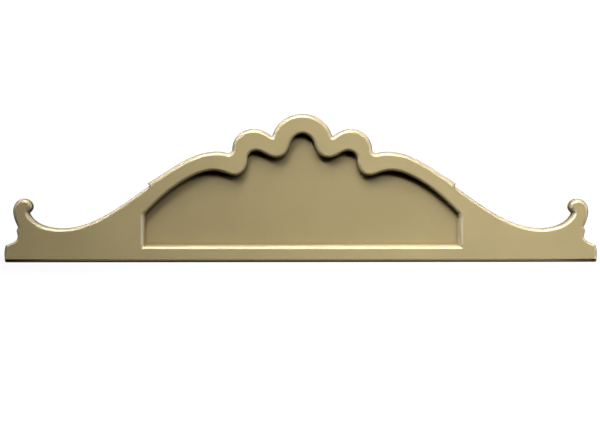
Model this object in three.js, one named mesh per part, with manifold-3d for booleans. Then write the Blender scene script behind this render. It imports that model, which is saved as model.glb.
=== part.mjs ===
// Scroll onlay: a flat, mirrored pediment applique, carved in one piece.
// It stands upright on its base: +X to the right, +Z up, front towards -Y.
// The origin is under the middle of the base, halfway through the thickness.

import * as THREE from 'three';
import { mergeVertices } from 'three/addons/utils/BufferGeometryUtils.js';
import Module from 'manifold-3d';

// Driving dimensions, in millimetres

const width = 600;
const height = 150;
const thickness = 15;
const panelThickness = 5.5;
const edgeRadius = 4;
const recessEdgeRadius = 2.6;
const crestRail = 20.2;
const bottomRail = 16.9;
const tabStep = 3;
const notchRadius = 0.8;

// No rounding is deeper than the recess

const frontRound = Math.min(edgeRadius, thickness - panelThickness);
const recessRound = Math.min(recessEdgeRadius, thickness - panelThickness);

// The carving is drawn 600 wide and 150 high, with these rails, and follows the
// driving dimensions as shares of its own

const drawn = { width: 600, height: 150, crestRail: 20.2, bottomRail: 16.9 };

// Fineness of the curves

const flatness = 0.05;
const turnPerStep = 20;
const edgeSteps = 4;
const shortestEdgeSide = 0.2;

// A knot is a place on an outline with the heading that the outline has on
// reaching it and on leaving it, in degrees from +X. Straight takes the heading
// of the line to the neighbouring knot.

const straight = null;

function knot(x, z, arriving, leaving = arriving) {
  return { place: new THREE.Vector2(x, z), arriving, leaving };
}

function direction(heading) {
  const angle = THREE.MathUtils.degToRad(heading);
  return new THREE.Vector2(Math.cos(angle), Math.sin(angle));
}

function along(place, heading, distance) {
  return place.clone().addScaledVector(direction(heading), distance);
}

// Two knots that round an inner corner off with a small radius

function notch(x, z, arriving, leaving) {
  const corner = new THREE.Vector2(x, z);
  const turn = THREE.MathUtils.degToRad(Math.abs(leaving - arriving));
  const setback = notchRadius * Math.tan(turn / 2);
  const before = along(corner, arriving, -setback);
  const after = along(corner, leaving, setback);
  return [knot(before.x, before.y, arriving), knot(after.x, after.y, leaving)];
}

// The turn from one heading to another, between -180 and 180 degrees

function turnBetween(heading, next) {
  return THREE.MathUtils.euclideanModulo(next - heading + 180, 360) - 180;
}

// The points of one stretch, from a knot up to the next, without the last. The
// curve is a cubic whose pulls make a circular arc where both ends turn alike.

function stretch(from, to) {
  const chord = to.place.clone().sub(from.place);
  const chordHeading = THREE.MathUtils.radToDeg(Math.atan2(chord.y, chord.x));
  const leaving = from.leaving ?? chordHeading;
  const arriving = to.arriving ?? chordHeading;
  const turns = Math.abs(turnBetween(leaving, chordHeading)) + Math.abs(turnBetween(chordHeading, arriving));
  const turn = THREE.MathUtils.degToRad(turns);
  const pull = chord.length() / (3 * Math.cos(turn / 4) ** 2);
  const curve = new THREE.CubicBezierCurve(
    from.place,
    along(from.place, leaving, pull),
    along(to.place, arriving, -pull),
    to.place,
  );
  const stepsForFlatness = Math.sqrt((chord.length() * turn) / (8 * flatness));
  const steps = Math.max(1, Math.ceil(stepsForFlatness), Math.ceil(turns / turnPerStep));
  return curve.getPoints(steps).slice(0, -1);
}

// The right half of an outline, from its top in the middle to its lower corner

function halfOutline(knots) {
  const points = knots.slice(0, -1).flatMap((from, index) => stretch(from, knots[index + 1]));
  return [...points, knots.at(-1).place.clone()];
}

// A whole outline, clockwise: the right half, then its mirror image without the top point

function mirrored(half) {
  const left = half.slice(1).reverse().map((point) => new THREE.Vector2(-point.x, point.y));
  return [...half, ...left];
}

// The outer outline: crest, side lobe, hump, wing, scroll and foot

function outerKnots() {
  const tabHeading = -33;
  const tabCorner = new THREE.Vector2(156.1, 79.5);
  const tabFoot = along(tabCorner, tabHeading - 90, tabStep);
  return [
    knot(0, 150, 0),
    ...notch(30.4, 127, -75, 40),
    knot(49.4, 134.8, 0),
    knot(70.8, 114.3, -90),
    knot(75.3, 110.2, 0),
    knot(78.4, 111.1, 13),
    knot(86.8, 111.8, 0),
    knot(132.7, 94.5, tabHeading),
    knot(tabCorner.x, tabCorner.y, straight),
    knot(tabFoot.x, tabFoot.y, straight, -35.5),
    knot(183.6, 56.6, -33.5),
    knot(242.3, 34.3, 0),
    ...notch(275.3, 49.7, 62, 140),
    knot(271.5, 56.1, 90),
    knot(280.4, 64.2, 0),
    knot(291.3, 51.6, -90),
    knot(286.2, 35.5, -116, -62),
    knot(287.7, 32.3, -70, -98),
    knot(286.6, 26, -90),
    knot(291, 20.3, -21),
    knot(298.2, 17.4, straight, -60),
    knot(300, 9.5, -90),
    knot(299.2, 0, -97),
  ];
}

// The recess: the foot of its wall, under the crest, the lobes and the long arch

function recessKnots() {
  const side = 159;
  return [
    knot(0, 129.8, 0),
    knot(12.3, 119.8, -73),
    knot(15.6, 111.8, -60),
    knot(27, 105.6, 0),
    knot(37.5, 109.2, 30.5),
    knot(46.6, 112.5, 0),
    knot(55.7, 103.5, -89),
    knot(68.3, 87.5, 0),
    knot(77.7, 90, 19),
    knot(89.6, 92.5, 0),
    knot(118.4, 82.7, -29.5),
    knot(side, 48.9, -46, straight),
    knot(side, 16.9, straight),
  ];
}

// How much the outline turns at a point towards the material, in degrees

function outerTurn(before, point, after) {
  const reached = point.clone().sub(before).angle();
  const left = after.clone().sub(point).angle();
  return -turnBetween(THREE.MathUtils.radToDeg(reached), THREE.MathUtils.radToDeg(left));
}

// Round a tight outer corner the inner line of the rounded edge has shorter sides
// than the outline. Where a side has no length left there, the one of its two
// points that turns less is taken out.

function withRoomForEdge(half, radius) {
  const points = [...half];
  for (;;) {
    const acrossTop = new THREE.Vector2(-points[1].x, points[1].y);
    const acrossFoot = new THREE.Vector2(-points.at(-1).x, points.at(-1).y);
    const round = [acrossTop, ...points, acrossFoot];
    const turns = points.map((point, index) => outerTurn(round[index], point, round[index + 2]));
    const setbacks = turns.map((turn) => radius * Math.tan(THREE.MathUtils.degToRad(turn / 2)));
    const crowded = points.slice(1).findIndex((point, index) => {
      const side = point.distanceTo(points[index]);
      return side - setbacks[index] - setbacks[index + 1] < shortestEdgeSide;
    });
    if (crowded < 0) {
      return points;
    }
    const firstTurnsLess = Math.abs(turns[crowded]) < Math.abs(turns[crowded + 1]);
    points.splice(firstTurnsLess ? crowded : crowded + 1, 1);
  }
}

function outerShape() {
  const size = new THREE.Vector2(width / drawn.width, height / drawn.height);
  const half = halfOutline(outerKnots()).map((point) => point.multiply(size));
  return new THREE.Shape(mirrored(withRoomForEdge(half, frontRound)));
}

// A hole's path runs the other way round from the outline that it lies in

function recessPath() {
  const half = halfOutline(recessKnots());
  const across = width / drawn.width;
  const drawnPanelHeight = drawn.height - drawn.crestRail - drawn.bottomRail;
  const up = (height - crestRail - bottomRail) / drawnPanelHeight;
  const place = (point) => new THREE.Vector2(
    point.x * across,
    bottomRail + (point.y - drawn.bottomRail) * up,
  );
  return new THREE.Path(mirrored(half).map(place).reverse());
}

// Solids for joining and cutting

const solids = await Module();
solids.setup();

function toSolid(geometry) {
  const bare = geometry.clone();
  bare.deleteAttribute('normal');
  bare.deleteAttribute('uv');
  const merged = mergeVertices(bare, 1e-4);
  return new solids.Manifold(new solids.Mesh({
    numProp: 3,
    vertProperties: new Float32Array(merged.attributes.position.array),
    triVerts: new Uint32Array(merged.index.array),
  }));
}

function toGeometry(solid) {
  const mesh = solid.getMesh();
  const geometry = new THREE.BufferGeometry();
  geometry.setAttribute('position', new THREE.BufferAttribute(mesh.vertProperties, 3));
  geometry.setIndex(new THREE.BufferAttribute(mesh.triVerts, 1));
  geometry.computeVertexNormals();
  return geometry;
}

// A plate as thick as the onlay, drawn face up, with every edge of its face
// rounded and its back lower than the onlay's

function roundedPlate(shape, radius) {
  const plate = new THREE.ExtrudeGeometry(shape, {
    depth: thickness,
    bevelThickness: radius,
    bevelSize: radius,
    bevelOffset: -radius,
    bevelSegments: edgeSteps,
  });
  plate.translate(0, 0, -radius);
  return toSolid(plate);
}

// A plate wider than the onlay that is open over the recess

function openPlate() {
  const shape = new THREE.Shape([
    new THREE.Vector2(-width, -height),
    new THREE.Vector2(-width, 2 * height),
    new THREE.Vector2(width, 2 * height),
    new THREE.Vector2(width, -height),
  ]);
  shape.holes.push(recessPath());
  return roundedPlate(shape, recessRound);
}

// The raised frame: rails, wings, scrolls and feet, open over the recess, with
// the edge of the recess rounded less than the outer edge. Its back is cut flat.

function raisedFrame() {
  const behind = new THREE.BoxGeometry(4 * width, 8 * height, 2 * thickness);
  behind.translate(0, 0, -thickness);
  return roundedPlate(outerShape(), frontRound).intersect(openPlate()).subtract(toSolid(behind));
}

// The thin backing that closes the recess and runs behind the whole piece

function backing() {
  return toSolid(new THREE.ExtrudeGeometry(outerShape(), {
    depth: panelThickness,
    bevelEnabled: false,
  }));
}

function scrollOnlay() {
  const geometry = toGeometry(raisedFrame().add(backing()));
  geometry.rotateX(Math.PI / 2);
  geometry.translate(0, thickness / 2, 0);
  const champagneGold = new THREE.MeshStandardMaterial({
    color: 0xab9b70,
    roughness: 0.38,
    metalness: 0.35,
  });
  const mesh = new THREE.Mesh(geometry, champagneGold);
  mesh.name = 'scroll_onlay';
  return mesh;
}

const part = new THREE.Group();
part.add(scrollOnlay());

export default part;
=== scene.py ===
import math
from collections import namedtuple

import bmesh
import bpy
import numpy as np
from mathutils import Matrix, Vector
from mathutils.geometry import tessellate_polygon


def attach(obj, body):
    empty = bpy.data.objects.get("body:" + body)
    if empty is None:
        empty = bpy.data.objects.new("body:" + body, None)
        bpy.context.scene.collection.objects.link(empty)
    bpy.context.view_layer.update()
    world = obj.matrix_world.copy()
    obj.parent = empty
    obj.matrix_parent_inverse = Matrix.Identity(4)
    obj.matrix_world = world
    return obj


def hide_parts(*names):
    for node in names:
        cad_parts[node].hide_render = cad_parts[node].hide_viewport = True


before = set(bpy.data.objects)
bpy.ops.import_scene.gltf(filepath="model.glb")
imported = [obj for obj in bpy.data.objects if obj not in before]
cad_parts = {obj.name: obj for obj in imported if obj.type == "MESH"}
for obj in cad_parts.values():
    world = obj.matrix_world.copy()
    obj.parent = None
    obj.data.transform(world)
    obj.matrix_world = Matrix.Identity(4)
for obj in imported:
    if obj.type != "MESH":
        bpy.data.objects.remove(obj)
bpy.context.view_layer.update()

# Sizes of the onlay, in millimetres, as in the part's source

HEIGHT = 150.0
THICKNESS = 15.0
PANEL_DEPTH = 9.5
CREST_RAIL = 20.2
BOTTOM_RAIL = 16.9
TAB_STEP = 3.0
EDGE_RADIUS = 4.0
RECESS_EDGE_RADIUS = 2.6
NOTCH_RADIUS = 0.8

FRONT = -THICKNESS / 2
BACK = THICKNESS / 2
PANEL = FRONT + PANEL_DEPTH

# Places on the outlines that the painted highlight and painted shade depend on too, as
# x and z right of the middle: the corner of a tab and the middle of its step, the notch
# of a scroll, and the foot of the long arch, where the recess's upright side begins

TAB_CORNER = (156.1, 79.5)
TAB_FACE = (155.3, 78.2)
SCROLL_NOTCH = (275.3, 49.7)
ARCH_FOOT = (159.0, 48.9)

# Small forms that the solid leaves plainer: the roundings of nicks and of the
# foot's lower corner, the cove at the foot of the recess wall and the eased back
# edge. The rim is the first strip of the flat face beside a rounded edge.

NICK_RADIUS = 0.4
FOOT_RADIUS = 1.8
COVE = 0.25
EASED_BACK = 0.5
RIM = 0.6

# Widths of the rounded edges where they aren't alike all round, as pairs of a
# place and the width there: by x along the top, by z along the base and at the
# ends, and by z in the recess

TOP_EDGE = ((154.9, EDGE_RADIUS), (156.2, 2.9), (183, 3.1), (240, 3.7), (262, EDGE_RADIUS))
END_EDGE = ((1, 2.6), (5, EDGE_RADIUS), (14, EDGE_RADIUS), (18, 2.4), (38, 2.4), (48, EDGE_RADIUS))
RECESS_EDGE = ((46, 3.9), (50, RECESS_EDGE_RADIUS))

# Where the widths by z hold: below the wings, and outside the scroll's neck

BELOW_WINGS = 30.0
NECK = 283.0
NECK_TOP = 50.0

# Fineness: the length and the turn in degrees of a side along the outlines, the
# fewest sides of a stretch, the strips across a rounded edge, the tilt in degrees
# at which that edge meets the face, and the rings that make the cove

SIDE = 0.7
SIDE_TURN = 5
FEWEST_SIDES = 3
EDGE_STRIPS = 10
FIRST_TILT = 12
COVE_RINGS = 4
EDGE_RINGS = np.arange(EDGE_STRIPS + 1)

# The heading of a line to the neighbouring knot

STRAIGHT = None


def graded(places, steps):
    """The amounts at places, on straight lines between steps, each a place and its amount."""
    return np.interp(places, *zip(*steps))


# Outlines: knots with the heading on reaching and on leaving, joined by cubics

def knot(x, z, arriving, leaving="same"):
    """A place on an outline and its two headings, in degrees from +X."""
    return (x, z), arriving, arriving if leaving == "same" else leaving


def heading_vector(heading):
    """The unit vector of a heading in degrees."""
    return np.array([math.cos(math.radians(heading)), math.sin(math.radians(heading))])


def turn_between(heading, following):
    """How far two headings are apart, from 0 to 180 degrees."""
    return abs((following - heading + 180) % 360 - 180)


def softened(x, z, arriving, leaving, radius):
    """Two knots that round a corner, each off it by radius times the tangent of half the turn."""
    setback = radius * math.tan(math.radians(turn_between(arriving, leaving)) / 2)
    before = np.array([x, z]) - setback * heading_vector(arriving)
    after = np.array([x, z]) + setback * heading_vector(leaving)
    return [knot(*before, arriving), knot(*after, leaving)]


def stretch(start, end):
    """A cubic Bezier curve from a knot to the next, without its last point. Each pull is the
    chord over three times the squared cosine of a quarter of the turn."""
    (p0, _, leaving), (p3, arriving, _) = start, end
    p0, p3 = np.array(p0), np.array(p3)
    chord = p3 - p0
    length = float(np.hypot(*chord))
    along = math.degrees(math.atan2(chord[1], chord[0]))
    leaving = along if leaving is STRAIGHT else leaving
    arriving = along if arriving is STRAIGHT else arriving
    turns = turn_between(leaving, along) + turn_between(along, arriving)
    pull = length / (3 * math.cos(math.radians(turns) / 4) ** 2)
    p1 = p0 + pull * heading_vector(leaving)
    p2 = p3 - pull * heading_vector(arriving)
    count = max(FEWEST_SIDES, math.ceil(length / SIDE), math.ceil(turns / SIDE_TURN))
    t = (np.arange(count) / count)[:, None]
    return (1 - t) ** 3 * p0 + 3 * (1 - t) ** 2 * t * p1 + 3 * (1 - t) * t ** 2 * p2 + t ** 3 * p3


def whole_outline(knots):
    """The right half, clockwise from the top, and its mirror image without the top point."""
    stretches = [stretch(a, b) for a, b in zip(knots[:-1], knots[1:])]
    last = np.array([knots[-1][0]])
    half = np.concatenate([*stretches, last])
    return np.concatenate([half, half[:0:-1] * (-1, 1)])


def outer_knots():
    """Crest, side lobe, hump, tab, wing, scroll and foot."""
    tab_heading = -33
    step_heading = tab_heading - 90
    tab_foot = np.array(TAB_CORNER) + TAB_STEP * heading_vector(step_heading)
    return [
        knot(0, HEIGHT, 0),
        *softened(30.4, 127, -75, 40, NOTCH_RADIUS),
        knot(49.4, 134.8, 0),
        knot(70.8, 114.3, -90),
        knot(75.3, 110.2, 0),
        knot(78.4, 111.1, 13),
        knot(86.8, 111.8, 0),
        knot(132.7, 94.5, tab_heading),
        *softened(*TAB_CORNER, tab_heading, step_heading, NICK_RADIUS),
        *softened(*tab_foot, step_heading, -35.5, NICK_RADIUS),
        knot(183.6, 56.6, -33.5),
        knot(242.3, 34.3, 0),
        *softened(*SCROLL_NOTCH, 62, 140, NOTCH_RADIUS),
        knot(271.5, 56.1, 90),
        knot(280.4, 64.2, 0),
        knot(291.3, 51.6, -90),
        *softened(286.2, 35.5, -116, -62, NICK_RADIUS),
        *softened(287.7, 32.3, -70, -98, NICK_RADIUS),
        knot(286.6, 26, -90),
        knot(291, 20.3, -21),
        *softened(298.2, 17.4, -22, -60, NICK_RADIUS),
        knot(300, 9.5, -90),
        *softened(299.2, 0, -97, -180, FOOT_RADIUS),
    ]


def recess_knots():
    """The foot of the recess wall, under the crest, the lobes and the long arch."""
    side = ARCH_FOOT[0]
    return [
        knot(0, HEIGHT - CREST_RAIL, 0),
        knot(12.3, 119.8, -73),
        knot(15.6, 111.8, -60),
        knot(27, 105.6, 0),
        knot(37.5, 109.2, 30.5),
        knot(46.6, 112.5, 0),
        knot(55.7, 103.5, -89),
        knot(68.3, 87.5, 0),
        knot(77.7, 90, 19),
        knot(89.6, 92.5, 0),
        knot(118.4, 82.7, -29.5),
        knot(*ARCH_FOOT, -46, STRAIGHT),
        knot(side, BOTTOM_RAIL, STRAIGHT),
    ]


# Rings beside an outline

def sideways(outline):
    """At each point of a clockwise outline, the step to its right, which is inwards, that moves
    both neighbouring sides by one. It is half-way between their normals, with a length of one
    over the cosine of half the turn, which counts as no less than the least cosine."""
    least_cosine = 0.75
    ahead = np.roll(outline, -1, axis=0) - outline
    ahead /= np.linalg.norm(ahead, axis=1, keepdims=True)
    both = ahead + np.roll(ahead, 1, axis=0)
    both /= np.linalg.norm(both, axis=1, keepdims=True)
    cosine = np.clip(np.sum(both * ahead, axis=1), least_cosine, 1)
    return np.stack([both[:, 1], -both[:, 0]], axis=1) / cosine[:, None]


def gap_to(outline, points):
    """Each point's distance to the closed outline: the least over all of its sides."""
    side = (np.roll(outline, -1, axis=0) - outline)[None, :, :]
    away = points[:, None, :] - outline[None, :, :]
    share = np.clip(np.sum(away * side, axis=2) / np.sum(side * side, axis=2), 0, 1)
    return np.sqrt(np.min(np.sum((away - share[:, :, None] * side) ** 2, axis=2), axis=1))


def ring(outline, inset):
    """The outline moved sideways by the inset, which is one amount or one for each point. A moved
    point that comes nearer to the outline than that lies past a mitre, and is put on the line
    between the last points that don't. A curve is made of flat sides, so the gap may be a little
    less than the inset."""
    least_share, slack = 0.985, 0.004
    count = len(outline)
    inset = np.broadcast_to(inset, count)
    moved = outline + sideways(outline) * inset[:, None]
    keep = gap_to(outline, moved) > np.abs(inset) * least_share - slack
    index = np.arange(count)
    axes = [np.interp(index, index[keep], moved[keep, axis], period=count) for axis in (0, 1)]
    return np.stack(axes, axis=1)


def edge_width(outline):
    """The width of the rounded outer edge at each point."""
    x, z = np.abs(outline[:, 0]), outline[:, 1]
    by_height = (z < BELOW_WINGS) | (x > NECK) & (z < NECK_TOP)
    return np.where(by_height, graded(z, END_EDGE), graded(x, TOP_EDGE))


def past_tabs(outline, face_line):
    """The face's border drawn straight past each tab, so that only the outer part of the rounded
    edge steps there. Along that straight line the points keep the shares that they have in the
    outline."""
    beside, above_base = 6, 60
    border = face_line.copy()
    for side in (1, -1):
        by_tab = np.abs(side * outline[:, 0] - TAB_FACE[0]) < beside
        near = np.flatnonzero(by_tab & (outline[:, 1] > above_base))
        first, last = near[0] - 1, near[-1] + 1
        line = face_line[last] - face_line[first]
        share = (outline[near] - outline[first]) @ line / ((outline[last] - outline[first]) @ line)
        border[near] = face_line[first] + np.clip(share, 0, 1)[:, None] * line
    return border


def rounded_edge(outline, face_line, width):
    """Rings from the wall to the face, on a circle that meets the face at the first tilt, and one
    more within the face. At a tilt, the share of the way from the outline to the face's border is
    one less the sine of the tilt, and the depth is the width times the cosine of the first tilt
    less that of the tilt, both over one less the sine of the first tilt."""
    first = math.radians(FIRST_TILT)
    rings = []
    for tilt in np.linspace(math.pi / 2, first, EDGE_STRIPS + 1):
        share = (1 - math.sin(tilt)) / (1 - math.sin(first))
        depth = width * (math.cos(first) - math.cos(tilt)) / (1 - math.sin(first))
        rings.append((outline + share * (face_line - outline), FRONT + depth))
    inwards = face_line - outline
    inwards = inwards / np.linalg.norm(inwards, axis=1, keepdims=True)
    rings.append((face_line + RIM * inwards, FRONT))
    return rings


# Painted light: how much painted highlight brightens the paint and how much
# painted shade darkens it, as one amount for each point of each ring, in the order
# of the rings

# Shares for the rings of a rounded edge, from the wall to the face: the painted
# highlight most half-way, and the painted highlight near the face only

HIGHLIGHT_HALF_WAY = np.sin(np.linspace(0, math.pi, EDGE_STRIPS + 1))
HIGHLIGHT_NEAR_FACE = graded(EDGE_RINGS, ((5, 0), (8, 1), (9, 1), (10, 0.4)))

# The wing beside a scroll's notch, with a painted highlight near the face: how
# much, how far along from the notch, and how far past the notch its points still count

WING_HIGHLIGHT = 1.6
WING_REACH = 16.0
WING_SLACK = 0.5

# The recess's upright sides, with a painted highlight near the face: from and up to
# which z, and how much on the left and on the right, where the light differs. The right
# one has the painted highlight on its wall as well, on this many rings from the foot of the cove.

UPRIGHT = (18, 48)
UPRIGHT_HIGHLIGHT = (2.0, 1.4)
RIGHT_WALL_RINGS = COVE_RINGS + 6

# Painted shade on the outer edge, as pairs of ring and amount: a thin dark line all
# round its arris, and a painted contact shadow along the base, which fades out with z.
# The rings of the wall come before those of the edge.

WALL_RINGS = 3
ARRIS_SHADE = ((0, 0.8), (3.5, 0.8), (5.5, 0))
BASE_SHADOW = ((0, 1), (4.5, 1), (6, 0.35), (8.5, 0))
BASE_FADING = ((0, 1.5), (0.6, 0))

# Crannies with painted shade too: the step of a tab and the notch of a scroll, each
# with its place, how far it reaches, how much shade is painted and the last ring that has
# all of it. It fades over the next rings. Away from the place, the share of it is
# the fading times one less the part of the reach, and no more than one.

Cranny = namedtuple("Cranny", "place reach amount last_ring")
CRANNIES = (Cranny(TAB_FACE, 3.0, 1.5, 8), Cranny(SCROLL_NOTCH, 7.0, 0.8, 5))
CRANNY_FADING_RINGS = 3
CRANNY_FADING = 1.6

# Painted shade on the panel beside the recess wall: how far from the cove each
# ring lies and how much shade is painted there, the most beside the sides and the
# bottom, and the amount in the cove

PANEL_AWAY = (5.0, 3.0, 1.6, 0.6)
PANEL_SHADE = (0.22, 0.34, 0.62, 1.1)
PANEL_SIDE_MOST = 0.5
COVE_SHADE = 1.2

# The shares of this painted shade under a steep and a level lip and at the sides, the
# most on the left wall, on the right wall and under the lips, and the height from which
# the walls of the sides pass into the lips, and over how much

STEEP_LIP = 0.4
LEVEL_LIP = 1.0
SIDE_SHARE = 0.75
LEFT_WALL_MOST = 0.28
RIGHT_WALL_MOST = 0.12
LIP_MOST = 1.5
LIPS_FROM = 44
LIPS_OVER = 8


def highlight_outside(outer):
    """Painted highlight on the outer edge: most half-way round it, and near the face beside the
    scroll's notch.
    """
    along = SCROLL_NOTCH[0] - np.abs(outer[:, 0])
    above = outer[:, 1] - SCROLL_NOTCH[1]
    on_wing = (along > -WING_SLACK) & (above < WING_SLACK)
    near = np.where(on_wing, np.clip(1 - np.hypot(along, above) / WING_REACH, 0, 1), 0)
    edge = np.maximum(HIGHLIGHT_HALF_WAY[:, None], np.outer(HIGHLIGHT_NEAR_FACE, WING_HIGHLIGHT * near))
    return np.pad(edge, ((WALL_RINGS, 1), (0, 0))).ravel()


def highlight_inside(recess):
    """Painted highlight on the edge of the recess: most half-way round it, but near the face on the
    upright sides.
    """
    right = recess[:, 0] > 0
    upright = (recess[:, 1] > UPRIGHT[0]) & (recess[:, 1] < UPRIGHT[1])
    strength = np.where(recess[:, 0] < 0, *UPRIGHT_HIGHLIGHT)
    edge = np.where(upright, np.outer(HIGHLIGHT_NEAR_FACE, strength), HIGHLIGHT_HALF_WAY[:, None])
    rings = np.pad(edge, ((COVE_RINGS, 1), (0, 0)))
    wall = slice(0, RIGHT_WALL_RINGS)
    rings[wall] = np.maximum(rings[wall], upright & right)
    return np.pad(rings, ((len(PANEL_AWAY), 0), (0, 0))).ravel()


def shade_outside(outer):
    """Painted shade: the dark line round the arris, the painted contact shadow along the base and
    the crannies. Each is an amount for the ring times a share for the point, and the largest
    counts."""
    no_wall = [0, 0, 0]
    full_wall = [0, 1, 1]
    arris = [*no_wall, *graded(EDGE_RINGS, ARRIS_SHADE), 0]
    base = [*full_wall, *graded(EDGE_RINGS, BASE_SHADOW), 0]
    amounts = [
        np.outer(arris, np.ones(len(outer))),
        np.outer(base, graded(outer[:, 1], BASE_FADING)),
    ]
    for (x, z), reach, amount, last in CRANNIES:
        away = np.hypot(np.abs(outer[:, 0]) - x, outer[:, 1] - z)
        near = np.clip(CRANNY_FADING - CRANNY_FADING * away / reach, 0, 1)
        fading = ((last, 1), (last + CRANNY_FADING_RINGS, 0))
        rings = [*full_wall, *graded(EDGE_RINGS, fading), 0]
        amounts.append(np.outer(rings, amount * near))
    return np.maximum.reduce(amounts).ravel()


def shade_inside(recess):
    """Painted shade in the recess: most in the cove under the lips, less where a lip runs steeply,
    and little on the walls of the two sides and the bottom. The panel within the rings has one
    amount."""
    wall_shade = np.linspace(1, 0, EDGE_STRIPS + 1)
    rings = [*PANEL_SHADE, *[COVE_SHADE] * COVE_RINGS, *wall_shade, 0]
    level = np.clip(np.abs(sideways(recess)[:, 1]), 0, 1)
    under_lip = STEEP_LIP + (LEVEL_LIP - STEEP_LIP) * level
    amount = np.outer(rings, np.where(recess[:, 1] > ARCH_FOOT[1], under_lip, SIDE_SHARE))
    lips = np.clip((recess[:, 1] - LIPS_FROM) / LIPS_OVER, 0, 1)
    wall_most = np.where(recess[:, 0] < 0, LEFT_WALL_MOST, RIGHT_WALL_MOST)
    panel = slice(0, len(PANEL_SHADE))
    wall = slice(len(PANEL_SHADE), None)
    amount[panel] = np.clip(amount[panel], PANEL_SHADE[0], PANEL_SIDE_MOST + lips)
    amount[wall] = np.minimum(amount[wall], wall_most + (LIP_MOST - wall_most) * lips)
    amount[0] = PANEL_SHADE[0]
    return amount.ravel()


# Mesh

def place(points, depth):
    """Outline points as x, y, z in metres, at a depth behind the middle plane."""
    depth = np.broadcast_to(depth, len(points))
    return np.stack([points[:, 0], depth, points[:, 1]], axis=1) / 1000


def strips(first, rings, count):
    """Quads between neighbouring closed rings: ring r, point i joins ring r + 1, point i + 1."""
    i = np.arange(count)
    r = np.arange(rings - 1)[:, None]
    here = first + r * count + i
    ahead = first + r * count + (i + 1) % count
    return np.stack([here, ahead, ahead + count, here + count], axis=2).reshape(-1, 4)


def filled(loops, starts):
    """Triangles that fill the area inside the first loop and outside the others."""
    vectors = [(loop[:, (0, 2, 1)] * (1, 1, 0)).tolist() for loop in loops]
    index = np.concatenate([start + np.arange(len(loop)) for loop, start in zip(loops, starts)])
    return index[np.array(tessellate_polygon(vectors))]


def outside_rings(outer):
    """From the eased edge of the back along the wall and over the rounded edge to the face."""
    width = edge_width(outer)
    rings = [
        (ring(outer, EASED_BACK), BACK),
        (outer, BACK - EASED_BACK),
        (outer, BACK / 2),
        *rounded_edge(outer, past_tabs(outer, ring(outer, width)), width),
    ]
    return [place(*points_and_depth) for points_and_depth in rings]


def inside_rings(recess):
    """From the panel through the cove and up the wall over its rounded edge to the face."""
    width = graded(recess[:, 1], RECESS_EDGE)
    cove = [
        (ring(recess, COVE * (1 - math.sin(turn))), PANEL - COVE * (1 - math.cos(turn)))
        for turn in np.linspace(0, math.pi / 2, COVE_RINGS)
    ]
    rings = [
        *[(ring(recess, COVE + away), PANEL) for away in PANEL_AWAY],
        *cove,
        *rounded_edge(recess, ring(recess, -width), width),
    ]
    return [place(*points_and_depth) for points_and_depth in rings]


def carved_board():
    """One closed surface: the back, the outer wall with its rounded edge, the face, the recess
    wall with its rounded edge and cove, and the panel. Its points, quads, triangles and painted
    light."""
    outer = whole_outline(outer_knots())
    recess = whole_outline(recess_knots())
    outside = outside_rings(outer)
    inside = inside_rings(recess)
    outer_count = len(outer)
    recess_count = len(recess)
    first_inside = outer_count * len(outside)
    last_outside = outer_count * (len(outside) - 1)
    last_inside = first_inside + recess_count * (len(inside) - 1)
    points = np.concatenate(outside + inside)
    quads = np.concatenate([
        strips(0, len(outside), outer_count),
        strips(first_inside, len(inside), recess_count),
    ])
    caps = np.concatenate([
        filled([outside[0]], [0]),
        filled([outside[-1], inside[-1]], [last_outside, last_inside]),
        filled([inside[0]], [first_inside]),
    ])
    # Painted highlight and painted shade, as amounts for each point
    painted_light = {
        "painted_highlight": np.concatenate([highlight_outside(outer), highlight_inside(recess)]),
        "painted_shade": np.concatenate([shade_outside(outer), shade_inside(recess)]),
    }
    return points, quads, caps, painted_light


def board_object(name):
    """The board's surface as an object, smooth but for its creases, with its painted highlight and
    shade as attributes.
    """
    same_point, no_length, crease = 2e-6, 1e-6, math.radians(11)
    points, quads, caps, painted_light = carved_board()
    mesh = bpy.data.meshes.new(name)
    mesh.from_pydata(points.tolist(), [], quads.tolist() + caps.tolist())
    for key, amounts in painted_light.items():
        attribute = mesh.attributes.new(key, "FLOAT", "POINT")
        attribute.data.foreach_set("value", amounts.astype(np.float32))
    shaped = bmesh.new()
    shaped.from_mesh(mesh)
    bmesh.ops.remove_doubles(shaped, verts=shaped.verts, dist=same_point)
    bmesh.ops.dissolve_degenerate(shaped, edges=shaped.edges, dist=no_length)
    bmesh.ops.recalc_face_normals(shaped, faces=shaped.faces)
    shaped.to_mesh(mesh)
    shaped.free()
    mesh.shade_smooth()
    mesh.set_sharp_from_angle(angle=crease)
    board = bpy.data.objects.new(name, mesh)
    bpy.context.collection.objects.link(board)
    return board


# Finish

DARKER_GOLD = (0.452, 0.366, 0.184, 1)
LIGHTER_GOLD = (0.492, 0.398, 0.202, 1)
# Painted highlight: a pale gold for the bright bands along the rounded edges
HIGHLIGHT_GOLD = (0.67, 0.61, 0.455, 1)
# Painted shade: a dark brown for the corners, the lips, the base line and the arris
SHADE_BROWN = (0.085, 0.052, 0.014, 1)

# The amounts of painted highlight and painted shade that cover the gold the most, how much
# the painted shade covers then, and the range of the roughness

FULL_HIGHLIGHT = 2
FULL_SHADE = 1.5
SHADE_COVER = 0.975
ROUGHNESS = (0.35, 0.41)


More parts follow.
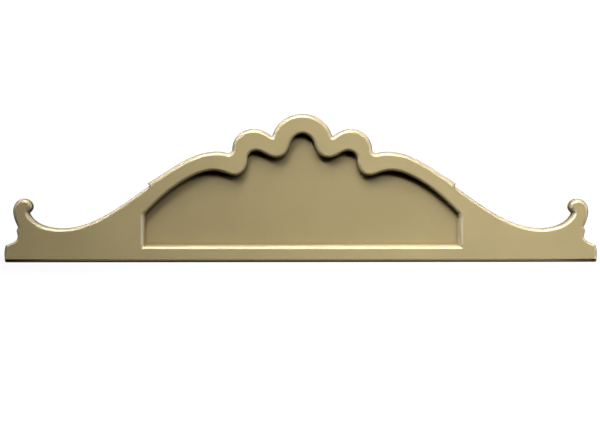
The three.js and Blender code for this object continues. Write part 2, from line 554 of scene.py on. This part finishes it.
def champagne_gold():
    """Satin champagne-gold paint: a warm base that varies softly, a paler painted highlight on the
    edges, dark brown painted shade in the corners, under the lips and along the base, an uneven
    sheen and a fine grain."""
    paint = bpy.data.materials.new("champagne_gold_paint")
    paint.use_nodes = True
    nodes, links = paint.node_tree.nodes, paint.node_tree.links
    shader = nodes["Principled BSDF"]
    shader.inputs["Metallic"].default_value = 0.25
    shader.inputs["IOR"].default_value = 1.5
    coords = nodes.new("ShaderNodeTexCoord")

    def noise(scale, detail):
        texture = nodes.new("ShaderNodeTexNoise")
        texture.inputs["Scale"].default_value = scale
        texture.inputs["Detail"].default_value = detail
        links.new(coords.outputs["Object"], texture.inputs["Vector"])
        return texture.outputs["Fac"]

    def remap(value, reads, gives):
        ramp = nodes.new("ShaderNodeMapRange")
        for key, number in zip(("From Min", "From Max", "To Min", "To Max"), (*reads, *gives)):
            ramp.inputs[key].default_value = number
        links.new(value, ramp.inputs["Value"])
        return ramp.outputs["Result"]

    def attribute(name):
        read = nodes.new("ShaderNodeAttribute")
        read.attribute_name = name
        return read.outputs["Fac"]

    def covered(share, under, over):
        mix = nodes.new("ShaderNodeMix")
        mix.data_type = "RGBA"
        links.new(share, mix.inputs["Factor"])
        if isinstance(under, tuple):
            mix.inputs["A"].default_value = under
        else:
            links.new(under, mix.inputs["A"])
        mix.inputs["B"].default_value = over
        return mix.outputs["Result"]

    middle_of_noise = (0.3, 0.7)
    clouds = remap(noise(scale=14, detail=3), middle_of_noise, (0, 1))
    gold = covered(clouds, DARKER_GOLD, LIGHTER_GOLD)
    # Painted highlight on the rounded edges, then painted shade in the corners, under the lips and
    # along the base
    highlight_share = remap(attribute("painted_highlight"), (0, FULL_HIGHLIGHT), (0, 1))
    painted_highlight = covered(highlight_share, gold, HIGHLIGHT_GOLD)
    shade_share = remap(attribute("painted_shade"), (0, FULL_SHADE), (0, SHADE_COVER))
    painted_shade = covered(shade_share, painted_highlight, SHADE_BROWN)
    links.new(painted_shade, shader.inputs["Base Color"])
    sheen = remap(noise(scale=90, detail=4), middle_of_noise, ROUGHNESS)
    links.new(sheen, shader.inputs["Roughness"])
    grain = nodes.new("ShaderNodeBump")
    grain.inputs["Strength"].default_value = 0.04
    grain.inputs["Distance"].default_value = 0.0002
    links.new(noise(scale=1400, detail=3), grain.inputs["Height"])
    links.new(grain.outputs["Normal"], shader.inputs["Normal"])
    return paint


# Studio, in metres

# The middle that the lights stand around, and how far to the right of it and above
# it lie the points that some of them are turned to

MIDDLE = Vector((0, 0, 0.06))
LOW_RIGHT = (0.22, -0.15)
LOW_FAR_RIGHT = (0.3, -0.15)

FLOOR_SIDES = 20
FLOOR_FRONT = -6
FLOOR_BACK = 30

# The floor glows more with the distance from under the onlay's middle: the near
# and the far distance, and the glow at each. The surround glows evenly.

GLOW_AWAY = (0.35, 0.9)
GLOW = (0.8, 1.05)
SURROUND_GLOW = 1.1

# The photo's viewing angle: level, 52 mm above the floor, 1.86 m in front, 67 mm
# to the left and turned 2 degrees to the right. Sensor and lens are in millimetres.

EYE = (-0.0667, -1.8643, 0.0517)
SINE_OF_TURN = 0.0346
SENSOR = 36
LENS = 110.4


def pale_floor_material():
    """Matt grey that glows white, so that the floor is near white but takes a faint shadow."""
    pale = bpy.data.materials.new("pale_floor")
    pale.use_nodes = True
    nodes, links = pale.node_tree.nodes, pale.node_tree.links
    shader = nodes["Principled BSDF"]
    shader.inputs["Base Color"].default_value = (0.12, 0.12, 0.12, 1)
    shader.inputs["Roughness"].default_value = 0.9
    shader.inputs["Specular IOR Level"].default_value = 0
    shader.inputs["Emission Color"].default_value = (1, 1, 1, 1)
    coords = nodes.new("ShaderNodeTexCoord")
    away = nodes.new("ShaderNodeVectorMath")
    away.operation = "LENGTH"
    links.new(coords.outputs["Object"], away.inputs[0])
    glow = nodes.new("ShaderNodeMapRange")
    for key, number in zip(("From Min", "From Max", "To Min", "To Max"), (*GLOW_AWAY, *GLOW)):
        glow.inputs[key].default_value = number
    links.new(away.outputs["Value"], glow.inputs["Value"])
    links.new(glow.outputs["Result"], shader.inputs["Emission Strength"])
    return pale


def studio_floor():
    """A wide pale sheet under the onlay, which lights nothing and isn't mirrored in it."""
    mesh = bpy.data.meshes.new("floor")
    corners = [
        (-FLOOR_SIDES, FLOOR_FRONT, 0),
        (FLOOR_SIDES, FLOOR_FRONT, 0),
        (FLOOR_SIDES, FLOOR_BACK, 0),
        (-FLOOR_SIDES, FLOOR_BACK, 0),
    ]
    mesh.from_pydata(corners, [], [(0, 1, 2, 3)])
    mesh.materials.append(pale_floor_material())
    floor = bpy.data.objects.new("floor", mesh)
    bpy.context.collection.objects.link(floor)
    floor.visible_glossy = False
    floor.visible_diffuse = False


def soft_light(name, elevation, azimuth, distance, size, watts, aim=(0.0, 0.0), spread=180):
    """A rectangular soft light around the onlay's middle. Its azimuth counts from straight in
    front to the right, and it is turned to a point that lies aim to the right of the middle and
    above it."""
    light = bpy.data.lights.new(name, "AREA")
    light.shape = "RECTANGLE"
    light.size, light.size_y = size
    light.energy = watts
    light.spread = math.radians(spread)
    up, around = math.radians(elevation), math.radians(azimuth)
    level = math.cos(up)
    out = Vector((level * math.sin(around), -level * math.cos(around), math.sin(up)))
    lamp = bpy.data.objects.new(name, light)
    lamp.location = MIDDLE + distance * out
    towards = MIDDLE + Vector((aim[0], 0, aim[1])) - lamp.location
    lamp.rotation_euler = towards.to_track_quat("-Z", "Y").to_euler()
    bpy.context.collection.objects.link(lamp)


def front_lights():
    """Three narrow lights from above, on the left, near the middle and on the right, a broad one
    overhead and one on each side."""
    soft_light("key_from_left", elevation=46, azimuth=-20, distance=1.5,
               size=(0.42, 0.42), watts=1.42, aim=LOW_RIGHT, spread=46)
    soft_light("low_key", elevation=36, azimuth=15, distance=1.5,
               size=(0.42, 0.42), watts=0.88, aim=LOW_RIGHT, spread=52)
    soft_light("low_key_right", elevation=28, azimuth=40, distance=1.6,
               size=(0.40, 0.35), watts=0.45, aim=LOW_FAR_RIGHT, spread=52)
    soft_light("overhead", elevation=66, azimuth=0, distance=2.5, size=(0.83, 0.67), watts=38.0)
    soft_light("side_right", elevation=10, azimuth=78, distance=1.3, size=(0.30, 0.40), watts=3.0)
    soft_light("side_left", elevation=36, azimuth=-74, distance=1.3, size=(0.40, 0.40), watts=2.1)


def back_lights():
    """Lights from behind that brighten the rounded edges, and the back a little."""
    soft_light("back_left", elevation=50, azimuth=-115, distance=1.3, size=(0.40, 0.40), watts=3.0)
    soft_light("back_right", elevation=50, azimuth=115, distance=1.3, size=(0.40, 0.40), watts=2.4)
    soft_light("back", elevation=135, azimuth=0, distance=1.4, size=(1.60, 0.35), watts=3.3)


def white_surround():
    """A surround that is white to the camera and lights nothing."""
    world = bpy.data.worlds.new("surround")
    world.use_nodes = True
    nodes, links = world.node_tree.nodes, world.node_tree.links
    dark = nodes["Background"]
    dark.inputs["Color"].default_value = (1, 1, 1, 1)
    dark.inputs["Strength"].default_value = 0
    white = nodes.new("ShaderNodeBackground")
    white.inputs["Color"].default_value = (1, 1, 1, 1)
    white.inputs["Strength"].default_value = SURROUND_GLOW
    seen = nodes.new("ShaderNodeLightPath")
    mix = nodes.new("ShaderNodeMixShader")
    links.new(seen.outputs["Is Camera Ray"], mix.inputs["Fac"])
    links.new(dark.outputs["Background"], mix.inputs[1])
    links.new(white.outputs["Background"], mix.inputs[2])
    links.new(mix.outputs["Shader"], nodes["World Output"].inputs["Surface"])
    bpy.context.scene.world = world


def camera():
    """The camera, at the photo's viewing angle."""
    data = bpy.data.cameras.new("camera")
    data.sensor_width = SENSOR
    data.lens = LENS
    eye = bpy.data.objects.new("camera", data)
    eye.location = EYE
    eye.rotation_euler = (math.radians(90), 0, -math.asin(SINE_OF_TURN))
    bpy.context.collection.objects.link(eye)
    bpy.context.scene.camera = eye


board = board_object("carved_onlay")
board.data.materials.append(champagne_gold())
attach(board, "root")
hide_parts("scroll_onlay")

studio_floor()
front_lights()
back_lights()
white_surround()
camera()
bpy.context.scene.view_settings.view_transform = "Standard"
bpy.context.scene.view_settings.look = "None"
